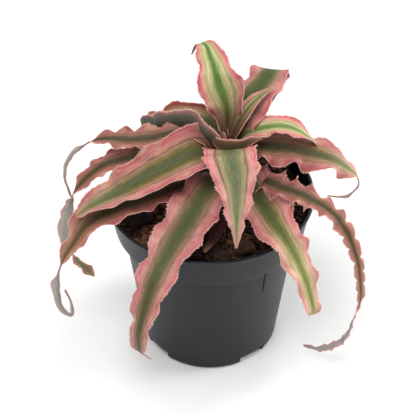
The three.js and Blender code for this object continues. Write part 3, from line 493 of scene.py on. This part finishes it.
# ---- leaf finishes ----
def leaf_material(leaf, index):
    """A living bromeliad blade: leathery skin with a waxy bloom, so a broad soft gloss over long fine veins, and
    bands of green, cream and pink that run its whole length."""
    dry = leaf["slot"] == "leaf_dry"
    material, tree, shader = finish_material("blade_" + leaf["name"], Roughness=.8 if dry else .5, IOR=1.42,
                                             Specular_IOR_Level=.4)
    near, far, start, end = leaf["bands"]
    attribute = {k: add(tree, "ShaderNodeAttribute", {"attribute_name": k}, None, 2)
                 for k in ("across", "along", "tip", "under", "edge", "share")}
    # long veins: noise drawn out along the blade, about 0.7 mm between veins at the widest place
    place = add(tree, "ShaderNodeCombineXYZ", {"Z": index * 3.7}, {"X": attribute["across"]})
    drift = add(tree, "ShaderNodeMath", {"operation": "MULTIPLY", 1: .006}, {0: attribute["along"]})
    tree.links.new(drift, place.node.inputs["Y"])
    veins = add(tree, "ShaderNodeTexNoise", {"Scale": 13, "Detail": 3, "Roughness": .6}, {"Vector": place})
    wander = add(tree, "ShaderNodeMath", {"operation": "MULTIPLY_ADD", 1: .22, 2: -.11}, {0: veins})
    breadth = add(tree, "ShaderNodeMath", {"operation": "ABSOLUTE"}, {0: attribute["across"]})
    band = add(tree, "ShaderNodeMath", {"operation": "ADD"}, {0: breadth, 1: wander})
    tops = [ramp(tree, band, list(zip(BAND_AT, BANDS[key].split()))) for key in (near, far)]
    far_share = add(tree, "ShaderNodeMapRange", {"interpolation_type": "SMOOTHSTEP", 1: start, 2: end},
                    {0: attribute["share"]})
    top = add(tree, "ShaderNodeMix", {"data_type": "RGBA"}, {"Factor": far_share, 6: tops[0], 7: tops[1]}, 2)
    # pale and flushed stretches of the margin, 10 to 20 mm long
    patch_place = add(tree, "ShaderNodeCombineXYZ", {"Z": index * 5.1}, {"X": attribute["across"]})
    patch_run = add(tree, "ShaderNodeMath", {"operation": "MULTIPLY", 1: .07}, {0: attribute["along"]})
    tree.links.new(patch_run, patch_place.node.inputs["Y"])
    patch = add(tree, "ShaderNodeTexNoise", {"Scale": 1.3, "Detail": 2}, {"Vector": patch_place})
    pale = add(tree, "ShaderNodeMapRange", {1: .5, 2: .72, 3: 0, 4: .0 if dry else .5}, {0: patch})
    rim = add(tree, "ShaderNodeMapRange", {1: .5, 2: .75}, {0: breadth})
    pale = add(tree, "ShaderNodeMath", {"operation": "MULTIPLY"}, {0: pale, 1: rim})
    top = add(tree, "ShaderNodeMix", {"data_type": "RGBA", 7: colour("e8c3a2")}, {"Factor": pale, 6: top}, 2)
    # the base of the blade is flushed with red, and the same dark mix paints in the shade where the leaves crowd
    # round the crown
    base = add(tree, "ShaderNodeMapRange",
               {"interpolation_type": "SMOOTHSTEP", 1: leaf.get("base", FOOT_FLUSH_AND_SHADE_RUN), 2: 6, 3: 0, 4: .85},
               {0: attribute["along"]})
    top = add(tree, "ShaderNodeMix", {"data_type": "RGBA", 7: colour("4a2019")}, {"Factor": base, 6: top}, 2)
    under_set = UNDERSIDE_FRESH if leaf["slot"] == "leaf_fresh" else UNDERSIDE
    under_set = BANDS[leaf["below"]] if "below" in leaf else under_set
    under_set = BANDS["dry"] if dry else under_set
    below = ramp(tree, band, list(zip(BAND_AT, under_set.split())))
    both = add(tree, "ShaderNodeMix", {"data_type": "RGBA"}, {"Factor": attribute["under"], 6: top, 7: below}, 2)
    # the last 0.4 mm of the margin is thin and pale
    hem = add(tree, "ShaderNodeMapRange", {1: .55, 2: .15, 3: 0, 4: 0 if dry else .5}, {0: attribute["edge"]})
    both = add(tree, "ShaderNodeMix", {"data_type": "RGBA", 7: colour("eab9a6")}, {"Factor": hem, 6: both}, 2)
    # single veins a little darker or lighter than the band that they run through
    fine = add(tree, "ShaderNodeTexNoise", {"Scale": 34, "Detail": 2}, {"Vector": place})
    shade = add(tree, "ShaderNodeMapRange", {1: .36, 2: .64, 3: .7, 4: 1.12}, {0: fine})
    both = add(tree, "ShaderNodeMix", {"data_type": "RGBA", "blend_type": "MULTIPLY", "Factor": 1},
               {6: both, 7: shade}, 2)
    # waxy scurf, as pale flecks of 0.5 mm
    flecks = add(tree, "ShaderNodeTexNoise", {"Scale": 1 / (.9 * MM), "Detail": 3, "Roughness": .75},
                 {"Vector": spot(tree)})
    scurf = add(tree, "ShaderNodeMapRange", {1: .5, 2: .8, 3: 0, 4: .1}, {0: flecks})
    both = add(tree, "ShaderNodeMix", {"data_type": "RGBA", 7: colour("cbbfa2")}, {"Factor": scurf, 6: both}, 2)
    # dry point
    tip = add(tree, "ShaderNodeMapRange", {1: 9, 2: 1, 3: 0, 4: .6}, {0: attribute["tip"]})
    both = add(tree, "ShaderNodeMix", {"data_type": "RGBA", 7: colour("a98468")}, {"Factor": tip, 6: both}, 2)
    tree.links.new(both, shader.inputs["Base Color"])
    relief(tree, shader, fine, .6, .2)
    return material


def tooth_finish():
    """Horny marginal teeth: translucent straw, a little glossier than the blade."""
    material, tree, shader = finish_material("margin_tooth_horn", Roughness=.45, IOR=1.45, Specular_IOR_Level=.4)
    place = spot(tree)
    mottle = add(tree, "ShaderNodeTexNoise", {"Scale": 300}, {"Vector": place})
    tree.links.new(ramp(tree, mottle, [(.35, "e0a49c"), (.65, "f0cdbb")]), shader.inputs["Base Color"])
    return material


# ---- pot ----
def rounded(corners, radius, steps=3):
    """A closed run of (radius, height) corners with each corner off the axis rounded."""
    corners = [np.array(c, float) for c in corners]
    out = []
    for i, c in enumerate(corners):
        if c[0] < 1e-6:
            out.append(c)
            continue
        before, after = corners[i - 1], corners[(i + 1) % len(corners)]
        d0, d1 = before - c, after - c
        l0, l1 = np.linalg.norm(d0), np.linalg.norm(d1)
        cut = min(radius, .45 * l0, .45 * l1)
        p0, p1 = c + d0 / l0 * cut, c + d1 / l1 * cut
        for k in range(steps + 1):
            t = k / steps
            out.append((1 - t) ** 2 * p0 + 2 * t * (1 - t) * c + t * t * p1)
    return np.array(out)


def filled(run, longest):
    """The same run with points added so that no step is longer than this."""
    out = []
    for a, b in zip(run, run[1:]):
        n = max(1, math.ceil(np.linalg.norm(b - a) / longest))
        out += [a + (b - a) * k / n for k in range(n)]
    return np.array(out + [run[-1]])


def pot_piece(material):
    """The pot turned about its axis, with drain notches in its foot and a groove in its wall over each notch."""
    flare = .05 * (BODY_RADIUS - BASE_RADIUS)
    w = WALL
    corners = [(0, 0), (BASE_RADIUS - 5, 0), (BASE_RADIUS, 0),
               (BASE_RADIUS + flare + .6, 1.2), (BODY_RADIUS, BODY_TOP - 3),
               (BODY_RADIUS + .6, BODY_TOP - .6), (COLLAR_FOOT - .6, BODY_TOP - .6), (COLLAR_FOOT, BODY_TOP + .2),
               (RIM_RADIUS - 1.1, LIP - 1.6), (RIM_RADIUS, LIP - 1.2),
               (RIM_RADIUS, LIP - .3), (RIM_RADIUS - .5, LIP),
               (RIM_RADIUS - .5 - w, LIP), (RIM_RADIUS - 1.1 - w, LIP - 1.6), (COLLAR_FOOT - w, BODY_TOP + 1.6),
               (BODY_RADIUS - w + .4, BODY_TOP + .6), (BODY_RADIUS - w, BODY_TOP - 3),
               (BASE_RADIUS - w, 6), (BASE_RADIUS - 7, 5), (0, 5)]
    run = filled(rounded(corners, .5), 1.6)
    # spokes stand closer at the ends of a notch and in the groove over it
    ends = np.linspace(-1.2, 1.2, 9)
    close = np.r_[ends - NOTCH_HALF, ends + NOTCH_HALF, np.linspace(-2, 2, 25)]
    fine = [o + d for o in NOTCH_TURNS for d in close]
    angles = np.unique(np.round(np.mod(np.r_[np.arange(0, 360, 2.5), fine], 360), 3))
    r, z = run[:, 0][None, :], run[:, 1][None, :]
    off = np.min([np.abs((angles - o + 180) % 360 - 180) for o in NOTCH_TURNS], axis=0)[:, None]
    outer = np.arange(len(run)) < np.argmax(run[:, 1])
    notch = smooth_step((NOTCH_HALF - off) / .8 + .5) * smooth_step((NOTCH_HEIGHT - z) / .5 + .5)
    notch = notch * (r > BASE_RADIUS - 4.4)
    low = BODY_TOP - 4 - GROOVE_LENGTH
    rise = np.clip((z - low) / GROOVE_LENGTH, 0, 1)
    width = (.35 + .75 * rise)
    groove = smooth_step(1.25 - np.radians(off) * r / width) * ((z > low) & (z < BODY_TOP - 3.6))
    radius = r - outer * (notch * 4 + groove * GROOVE_DEPTH)
    turn = np.radians(angles)[:, None]
    points = np.stack([radius * np.cos(turn), radius * np.sin(turn), np.broadcast_to(z, radius.shape)], -1)
    rows, count = points.shape[:2]
    inner = np.arange(1, count - 1)
    flat = points[:, inner].reshape(-1, 3)
    m = len(inner)
    points = np.vstack([flat, [[0, 0, run[0, 1]], [0, 0, run[-1, 1]]]])
    faces = []
    for i in range(rows):
        k = (i + 1) % rows
        faces += [(i * m + j, k * m + j, k * m + j + 1, i * m + j + 1) for j in range(m - 1)]
        faces += [(rows * m, k * m, i * m), (rows * m + 1, i * m + m - 1, k * m + m - 1)]
    return piece("nursery_pot", points, faces, material)


def pot_finish():
    """Injection-moulded black polypropylene: charcoal, a soft satin gloss from the mould's fine spark-eroded
    grain, and a film of dried water dust that greys it unevenly."""
    material, tree, shader = finish_material("pot_polypropylene", IOR=1.49, Specular_IOR_Level=.34)
    place = spot(tree)
    film = add(tree, "ShaderNodeTexNoise", {"Scale": 22, "Detail": 5, "Roughness": .6}, {"Vector": place})
    tint = ramp(tree, film, [(.3, "0b0d13"), (.7, "11151d")])
    tree.links.new(tint, shader.inputs["Base Color"])
    gloss = add(tree, "ShaderNodeMapRange", {1: .3, 2: .7, 3: .38, 4: .48}, {0: film})
    tree.links.new(gloss, shader.inputs["Roughness"])
    # mould grain is near 0.15 mm, drawn at 0.5 mm so that it shows
    grit = add(tree, "ShaderNodeTexNoise", {"Scale": 1 / (.5 * MM), "Detail": 2}, {"Vector": place})
    relief(tree, shader, grit, .12, .05)
    return material


# ---- potting mix ----
def mix_height(x, y):
    """The top of the potting mix, a little higher round the stem."""
    reach = np.hypot(x, y) / (RIM_RADIUS - 4)
    return (LIP - SOIL_DROP - 1 + 1.6 * (1 - reach) + .7 * np.sin(x / 7 + 1) * np.cos(y / 6)
            + .4 * np.sin(x / 3.1 - y / 4.3) + .45 * grain(x / 2.6, y / 2.6, SEED))


def mix_radius(z):
    """The mix's radius at a height: just inside the pot's wall."""
    share = np.clip((z - BODY_TOP) / COLLAR_HEIGHT, 0, 1)
    collar = COLLAR_FOOT - WALL + (RIM_RADIUS - 1.1 - COLLAR_FOOT) * share
    body = BASE_RADIUS - WALL + (BODY_RADIUS - BASE_RADIUS) * z / (BODY_TOP - 3)
    return np.where(z > BODY_TOP, collar, body) - .35


def mix_piece(material):
    """The potting mix, which fills the pot, with an uneven top."""
    spokes, rings = 180, 46
    turn = np.arange(spokes) * math.tau / spokes
    rows = []
    for z in (7, 30, 55, BODY_TOP - 3):
        radius = mix_radius(z)
        rows.append(np.stack([radius * np.cos(turn), radius * np.sin(turn), np.full(spokes, float(z))], 1))
    rows.append(rows[-1] * [1, 1, 0] + [0, 0, BODY_TOP + 2])
    edge = mix_radius(LIP - SOIL_DROP - 2)
    rows.append(np.stack([edge * np.cos(turn), edge * np.sin(turn), np.full(spokes, LIP - SOIL_DROP - 5)], 1))
    sides = len(rows)
    for k in range(rings):
        reach = edge * (1 - k / rings)
        x, y = reach * np.cos(turn), reach * np.sin(turn)
        rows.append(np.stack([x, y, mix_height(x, y)], 1))
    grid = np.array(rows)
    points = np.vstack([grid.reshape(-1, 3), [[0, 0, 7], [0, 0, float(mix_height(0., 0.))]]])
    faces = tube(len(rows) - 1, spokes)
    last = (len(rows) - 1) * spokes
    faces += [(len(points) - 2, (j + 1) % spokes, j) for j in range(spokes)]
    faces += [(len(points) - 1, last + j, last + (j + 1) % spokes) for j in range(spokes)]
    obj = piece("potting_mix", points, faces, material)
    bare = np.zeros(len(points))
    bare[(sides + 2) * spokes:] = 1
    mark(obj, "top", bare)
    mark(obj, "tone", np.full(len(points), .3))
    return obj


def scatter_tree(name, lump):
    """Loose pieces strewn over the faces marked as top. Lump says what each one is: crumb or chip."""
    tree, ins = node_tree(name, ("Spacing", "Least Size", "Greatest Size", "Roughness"), "Lump Material")
    top = add(tree, "GeometryNodeInputNamedAttribute", {"data_type": "FLOAT", "Name": "top"})
    chosen = add(tree, "FunctionNodeCompare", {"operation": "GREATER_THAN", "B": .9}, {"A": top})
    spots = add(tree, "GeometryNodeDistributePointsOnFaces", {"distribute_method": "POISSON", "Density Max": 4e6},
                {"Mesh": ins["Geometry"], "Selection": chosen,
                 "Distance Min": ins["Spacing"], "Seed": ins["Seed"]})
    if lump == "crumb":
        shape = add(tree, "GeometryNodeMeshIcoSphere", {"Radius": .5, "Subdivisions": 2})
    else:
        shape = add(tree, "GeometryNodeMeshCube", {"Size": (1.6, .8, .38), "Vertices X": 5, "Vertices Y": 4,
                                                   "Vertices Z": 3})
    tilt = .6 if lump == "crumb" else .35
    turn = add(tree, "FunctionNodeRandomValue",
               {"data_type": "FLOAT_VECTOR", 0: (-tilt, -tilt, 0), 1: (tilt, tilt, 6.28)}, {"Seed": ins["Seed"]})
    size = add(tree, "FunctionNodeRandomValue", {"data_type": "FLOAT"},
               {2: ins["Least Size"], 3: ins["Greatest Size"], "Seed": ins["Seed"]}, 1)
    strewn = add(tree, "GeometryNodeInstanceOnPoints", None,
                 {"Points": spots, "Instance": shape, "Rotation": turn, "Scale": size})
    shade = add(tree, "FunctionNodeRandomValue", {"data_type": "FLOAT"}, {"Seed": ins["Seed"]}, 1)
    toned = add(tree, "GeometryNodeStoreNamedAttribute",
                {"data_type": "FLOAT", "domain": "INSTANCE", "Name": "tone"}, {"Geometry": strewn, "Value": shade})
    real = add(tree, "GeometryNodeRealizeInstances", None, {0: toned})
    where = add(tree, "GeometryNodeInputPosition")
    rough = add(tree, "ShaderNodeTexNoise", {"Scale": 420, "Detail": 1}, {"Vector": where}, 1)
    centred = add(tree, "ShaderNodeVectorMath", {"operation": "SUBTRACT", 1: (.5, .5, .5)}, {0: rough})
    pushed = add(tree, "ShaderNodeVectorMath", {"operation": "SCALE"}, {0: centred, "Scale": ins["Roughness"]})
    worn = add(tree, "GeometryNodeSetPosition", None, {"Geometry": real, "Offset": pushed})
    painted = add(tree, "GeometryNodeSetMaterial", None, {"Geometry": worn, "Material": ins["Lump Material"]})
    flat = add(tree, "GeometryNodeSetShadeSmooth", {"Shade Smooth": False}, {0: painted})
    joined = add(tree, "GeometryNodeJoinGeometry")
    for source in (flat, ins["Geometry"]):
        tree.links.new(source, joined.node.inputs[0])
    add(tree, "NodeGroupOutput", None, {0: joined})
    return tree


def mix_finish():
    """Composted peat and fine bark, damp: near black, dead matt, with brown crumbs."""
    material, tree, shader = finish_material("potting_mix_peat", Roughness=.95, Specular_IOR_Level=.2)
    place = spot(tree)
    tone = add(tree, "ShaderNodeAttribute", {"attribute_name": "tone"}, None, 2)
    clump = add(tree, "ShaderNodeTexNoise", {"Scale": 350, "Detail": 4}, {"Vector": place})
    mixed = add(tree, "ShaderNodeMath", {"operation": "MULTIPLY_ADD", 1: .5}, {0: clump, 2: tone})
    tree.links.new(ramp(tree, mixed, [(.3, "080606"), (.6, "120d0b"), (.8, "241811"), (1, "3c2619")]),
                   shader.inputs["Base Color"])
    relief(tree, shader, clump, .8, .4)
    return material


def bark_finish():
    """Chipped pine bark: layered cork, dry and matt, orange-brown where freshly broken and dark on its old
    face."""
    material, tree, shader = finish_material("pine_bark_chip", Roughness=.88, Specular_IOR_Level=.25)
    place = spot(tree)
    tone = add(tree, "ShaderNodeAttribute", {"attribute_name": "tone"}, None, 2)
    long_way = add(tree, "ShaderNodeMapping", {"Scale": (1, 1, 3.5)}, {"Vector": place})
    layers = add(tree, "ShaderNodeTexNoise", {"Scale": 260, "Detail": 5, "Roughness": .65}, {"Vector": long_way})
    mixed = add(tree, "ShaderNodeMath", {"operation": "MULTIPLY_ADD", 1: .6}, {0: tone, 2: layers})
    tree.links.new(ramp(tree, mixed, [(.35, "0d0807"), (.65, "1e130e"), (.85, "3a241a"), (1, "5e3a27")]),
                   shader.inputs["Base Color"])
    relief(tree, shader, layers, .8, .5)
    return material


# Bark pieces: angle round the pot, distance from its axis, length, width, thickness, turn, tilt.
BARK = [(-157, 44, 17, 8, 4, 30, 8), (-66, 45, 14, 8, 4.5, 10, -6), (-82, 47, 12, 7, 3.5, -40, 7),
        (-100, 44, 16, 6, 3.5, 65, 5), (-132, 30, 13, 7, 4, -20, -8), (170, 40, 12, 8, 4, 50, 6),
        (118, 42, 15, 8, 4, 15, 5), (60, 44, 13, 7, 4, -30, -6), (12, 45, 12, 7, 3.5, 70, 6),
        (-28, 46, 11, 6, 3.5, 20, -5)]


def bark_piece(index, chip, material):
    """A flake of bark: a rounded slab with splintered ends and a ridged face."""
    angle, distance, length, width, thick, turn, tilt = chip
    rng = np.random.default_rng(SEED + 40 + index)
    long_steps, round_steps = 22, 20
    points = []
    for i in range(long_steps + 1):
        s = i / long_steps * 2 - 1
        taper = (1 - abs(s) ** 5) ** .5
        wob = 1 + .18 * math.sin(3.1 * s + rng.uniform(-.3, .3) + index)
        for j in range(round_steps):
            a = math.tau * j / round_steps
            c, d = math.cos(a), math.sin(a)
            x = s * length / 2 + .5 * math.sin(5 * a + index) * abs(s) ** 3
            y = width / 2 * wob * max(taper, .25) * math.copysign(abs(c) ** .6, c)
            z = thick / 2 * max(taper, .35) * math.copysign(abs(d) ** .55, d)
            ridge = .28 * math.sin(y * 4.2 + index + .4 * math.sin(s * 4)) + .22 * math.sin(y * 9 + s * 2)
            points.append((x, y, z + ridge * (d > 0) + .5 * math.sin(s * 2.5 + index)))
    points = np.array(points)
    across, around = math.radians(tilt), math.radians(turn)
    x, y, z = points.T
    y, z = y * math.cos(across) - z * math.sin(across), y * math.sin(across) + z * math.cos(across)
    x, y = x * math.cos(around) - y * math.sin(around), x * math.sin(around) + y * math.cos(around)
    cx, cy = distance * math.cos(math.radians(angle)), distance * math.sin(math.radians(angle))
    base = float(mix_height(cx, cy))
    points = np.stack([x + cx, y + cy, z + base + thick * .25], 1)
    faces = [f[::-1] for f in tube(long_steps, round_steps)]
    last = long_steps * round_steps
    faces += [tuple(range(round_steps)), tuple(last + j for j in range(round_steps))[::-1]]
    obj = piece(f"bark_chip_{index + 1}", points, faces, material)
    mark(obj, "tone", np.full(len(points), .25 + .75 * rng.random()))
    return obj


# ---- the short stem with the clasping leaf bases, and the rolled bud ----
def stem_piece(material):
    """A lathe form with overlapping scale edges, one for each leaf base."""
    spokes, rows = 48, 90
    low, high = STEM_LOW[2] + .2, STEM_TOP
    points = []
    for i in range(rows + 1):
        t = i / rows
        z = low + (high - low) * t
        for j in range(spokes):
            a = math.tau * j / spokes
            scale = (t * 9 + a / math.tau * 2) % 1
            radius = 5.0 - .9 * t + .55 * scale - 2.2 * max(0, t - .93) / .07 * .6
            points.append((STEM_X + radius * math.cos(a), radius * math.sin(a), z))
    points += [(STEM_X, 0, low), (STEM_X, 0, high)]
    faces = tube(rows, spokes)
    faces += [((rows + 1) * spokes, (j + 1) % spokes, j) for j in range(spokes)]
    last = rows * spokes
    faces += [(last + spokes + 1, last + j, last + (j + 1) % spokes) for j in range(spokes)]
    return piece("leafy_stem", points, faces, material)


def stem_finish():
    """Live stem tissue wrapped in leaf bases: moist, red-brown."""
    material, tree, shader = finish_material("stem_sheath", Roughness=.6, IOR=1.4)
    place = spot(tree)
    upright = add(tree, "ShaderNodeMapping", {"Scale": (1, 1, .15)}, {"Vector": place})
    streak = add(tree, "ShaderNodeTexNoise", {"Scale": 500, "Detail": 3}, {"Vector": upright})
    tree.links.new(ramp(tree, streak, [(.3, "2c100e"), (.6, "58201c"), (.8, "7a3a2a")]),
                   shader.inputs["Base Color"])
    relief(tree, shader, streak, .4, .2)
    return material


def bud_piece(material):
    """The youngest leaf, rolled round itself: a thick spiral sheet, narrowing upwards."""
    rows, steps = 26, 60
    low, high = (np.array(c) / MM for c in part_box("leaf_bud"))
    centre = (low + high) / 2
    base, top = low[2], high[2] - .3
    points, marks = [], []
    for i in range(rows + 1):
        t = i / rows
        girth = np.interp(t, [0, .2, .5, .8, 1], [1.6, 2.2, 2.1, 1.3, .5])
        ring = []
        for side in (1, -1):
            sweep = range(steps + 1) if side == 1 else range(steps, -1, -1)
            for j in sweep:
                s = j / steps
                a = -2.4 + s * math.tau * 1.35
                radius = girth * (.45 + .55 * s) + side * .14
                height = base + (top - base) * t - .5 * s * t
                ring.append((centre[0] + radius * math.cos(a), centre[1] + radius * math.sin(a), height))
                marks.append((s * 2 - 1, 0 if side == -1 else 1))
        points += ring
    count = 2 * (steps + 1)
    faces = tube(rows, count)
    last = rows * count
    for j in range(steps):
        faces += [(j, count - 1 - j, count - 2 - j, j + 1),
                  (last + j, last + j + 1, last + count - 2 - j, last + count - 1 - j)]
    obj = piece("rolled_bud", points, faces, material)
    across = np.array([m[0] for m in marks])
    mark(obj, "across", across)
    mark(obj, "under", [m[1] for m in marks])
    heights = np.array(points)[:, 2] - base
    for key, value in (("along", heights + 14), ("tip", 20 - heights), ("edge", 3 * (1 - np.abs(across))),
                       ("share", heights / (top - base))):
        mark(obj, key, value)
    return obj


# ---- camera, light and floor ----
CAMERA_PLACE = (0, -.6813, .6931)
CAMERA_PITCH = 41.4  # degrees below level
CAMERA_YAW = -.1
CAMERA_LENS = 135.95  # for a sensor 36 wide
# name, place, diameter, watts
LIGHTS = (("key", (-.45, -.6, 1.9), 1.5, 30), ("fill", (1.5, .25, .5), .8, 20),
          ("back", (.2, 1.3, 1.3), 1.0, 8))
SKY = .34  # strength of the white world light
FLOOR_HALF = 2500


def stage():
    """A camera, three soft lights in a white world, and a plain pale floor."""
    camera = bpy.data.objects.new("camera", bpy.data.cameras.new("camera"))
    bpy.context.scene.collection.objects.link(camera)
    pitch, yaw = math.radians(CAMERA_PITCH), math.radians(CAMERA_YAW)
    ahead = Vector((math.sin(yaw) * math.cos(pitch), math.cos(yaw) * math.cos(pitch), -math.sin(pitch)))
    camera.location = CAMERA_PLACE
    camera.rotation_euler = ahead.to_track_quat("-Z", "Y").to_euler()
    camera.data.sensor_width = 36
    camera.data.lens = CAMERA_LENS
    camera.data.clip_start = .01
    bpy.context.scene.camera = camera
    for name, place, size, power in LIGHTS:
        light = bpy.data.objects.new(name, bpy.data.lights.new(name, "AREA"))
        light.data.shape = "DISK"
        light.data.size = size
        light.data.energy = power
        light.location = place
        light.rotation_euler = (Vector((0, 0, .1)) - Vector(place)).to_track_quat("-Z", "Y").to_euler()
        bpy.context.scene.collection.objects.link(light)
    world = bpy.data.worlds.new("studio")
    world.use_nodes = True
    world.node_tree.nodes["Background"].inputs["Color"].default_value = (1, 1, 1, 1)
    world.node_tree.nodes["Background"].inputs["Strength"].default_value = SKY
    bpy.context.scene.world = world
    bpy.context.scene.view_settings.view_transform = "Standard"
    material, tree, shader = finish_material("floor_paper", Roughness=.9, Specular_IOR_Level=.2)
    place = spot(tree)
    fibre = add(tree, "ShaderNodeTexNoise", {"Scale": 60}, {"Vector": place})
    tree.links.new(ramp(tree, fibre, [(.3, "fcfcfb"), (.7, "fefefd")]), shader.inputs["Base Color"])
    h = FLOOR_HALF
    floor = piece("floor", [(-h, -h, -.2), (h, -h, -.2), (h, h, -.2), (-h, h, -.2)], [(0, 1, 2, 3)], material)


# ---- put together ----
stage()
own(pot_piece(pot_finish()), "pot_plastic", "pot")

peat, bark = mix_finish(), bark_finish()
mix = mix_piece(peat)
mix.data.materials.append(bark)
grow(mix, scatter_tree("peat_crumbs", "crumb"), **{
    "Spacing": 1.3 * MM, "Least Size": .7 * MM, "Greatest Size": 2 * MM, "Roughness": 1.2 * MM, "Seed": SEED,
    "Lump Material": peat})
grow(mix, scatter_tree("bark_crumbs", "chip"), **{
    "Spacing": 3.4 * MM, "Least Size": 1.2 * MM, "Greatest Size": 3.6 * MM, "Roughness": 1.6 * MM,
    "Seed": SEED + 1, "Lump Material": bark})
own(mix, "potting_mix", "soil")

for i, chip in enumerate(BARK):
    own(bark_piece(i, chip, bark), "bark_chip", f"bark_{i + 1}")

own(stem_piece(stem_finish()), "stem_tissue", "stem")
tooth, teeth = tooth_finish(), teeth_tree()
for i, leaf in enumerate(LEAVES):
    blade = leaf_piece(leaf, i, leaf_material(leaf, i), tooth)
    if leaf["slot"] != "leaf_dry":
        grow(blade, teeth, **{"Spacing": 1.25 * MM, "Tooth Length": 1 * MM, "Tooth Width": .34 * MM,
                              "Seed": SEED + i, "Tooth Material": tooth})
    own(blade, leaf["slot"], leaf["name"])
bud = dict(name="bud", slot="leaf_fresh", bands=("curl", "curl", .4, 1), below="sheath")
own(bud_piece(leaf_material(bud, 30)), "leaf_fresh", "leaf_bud")
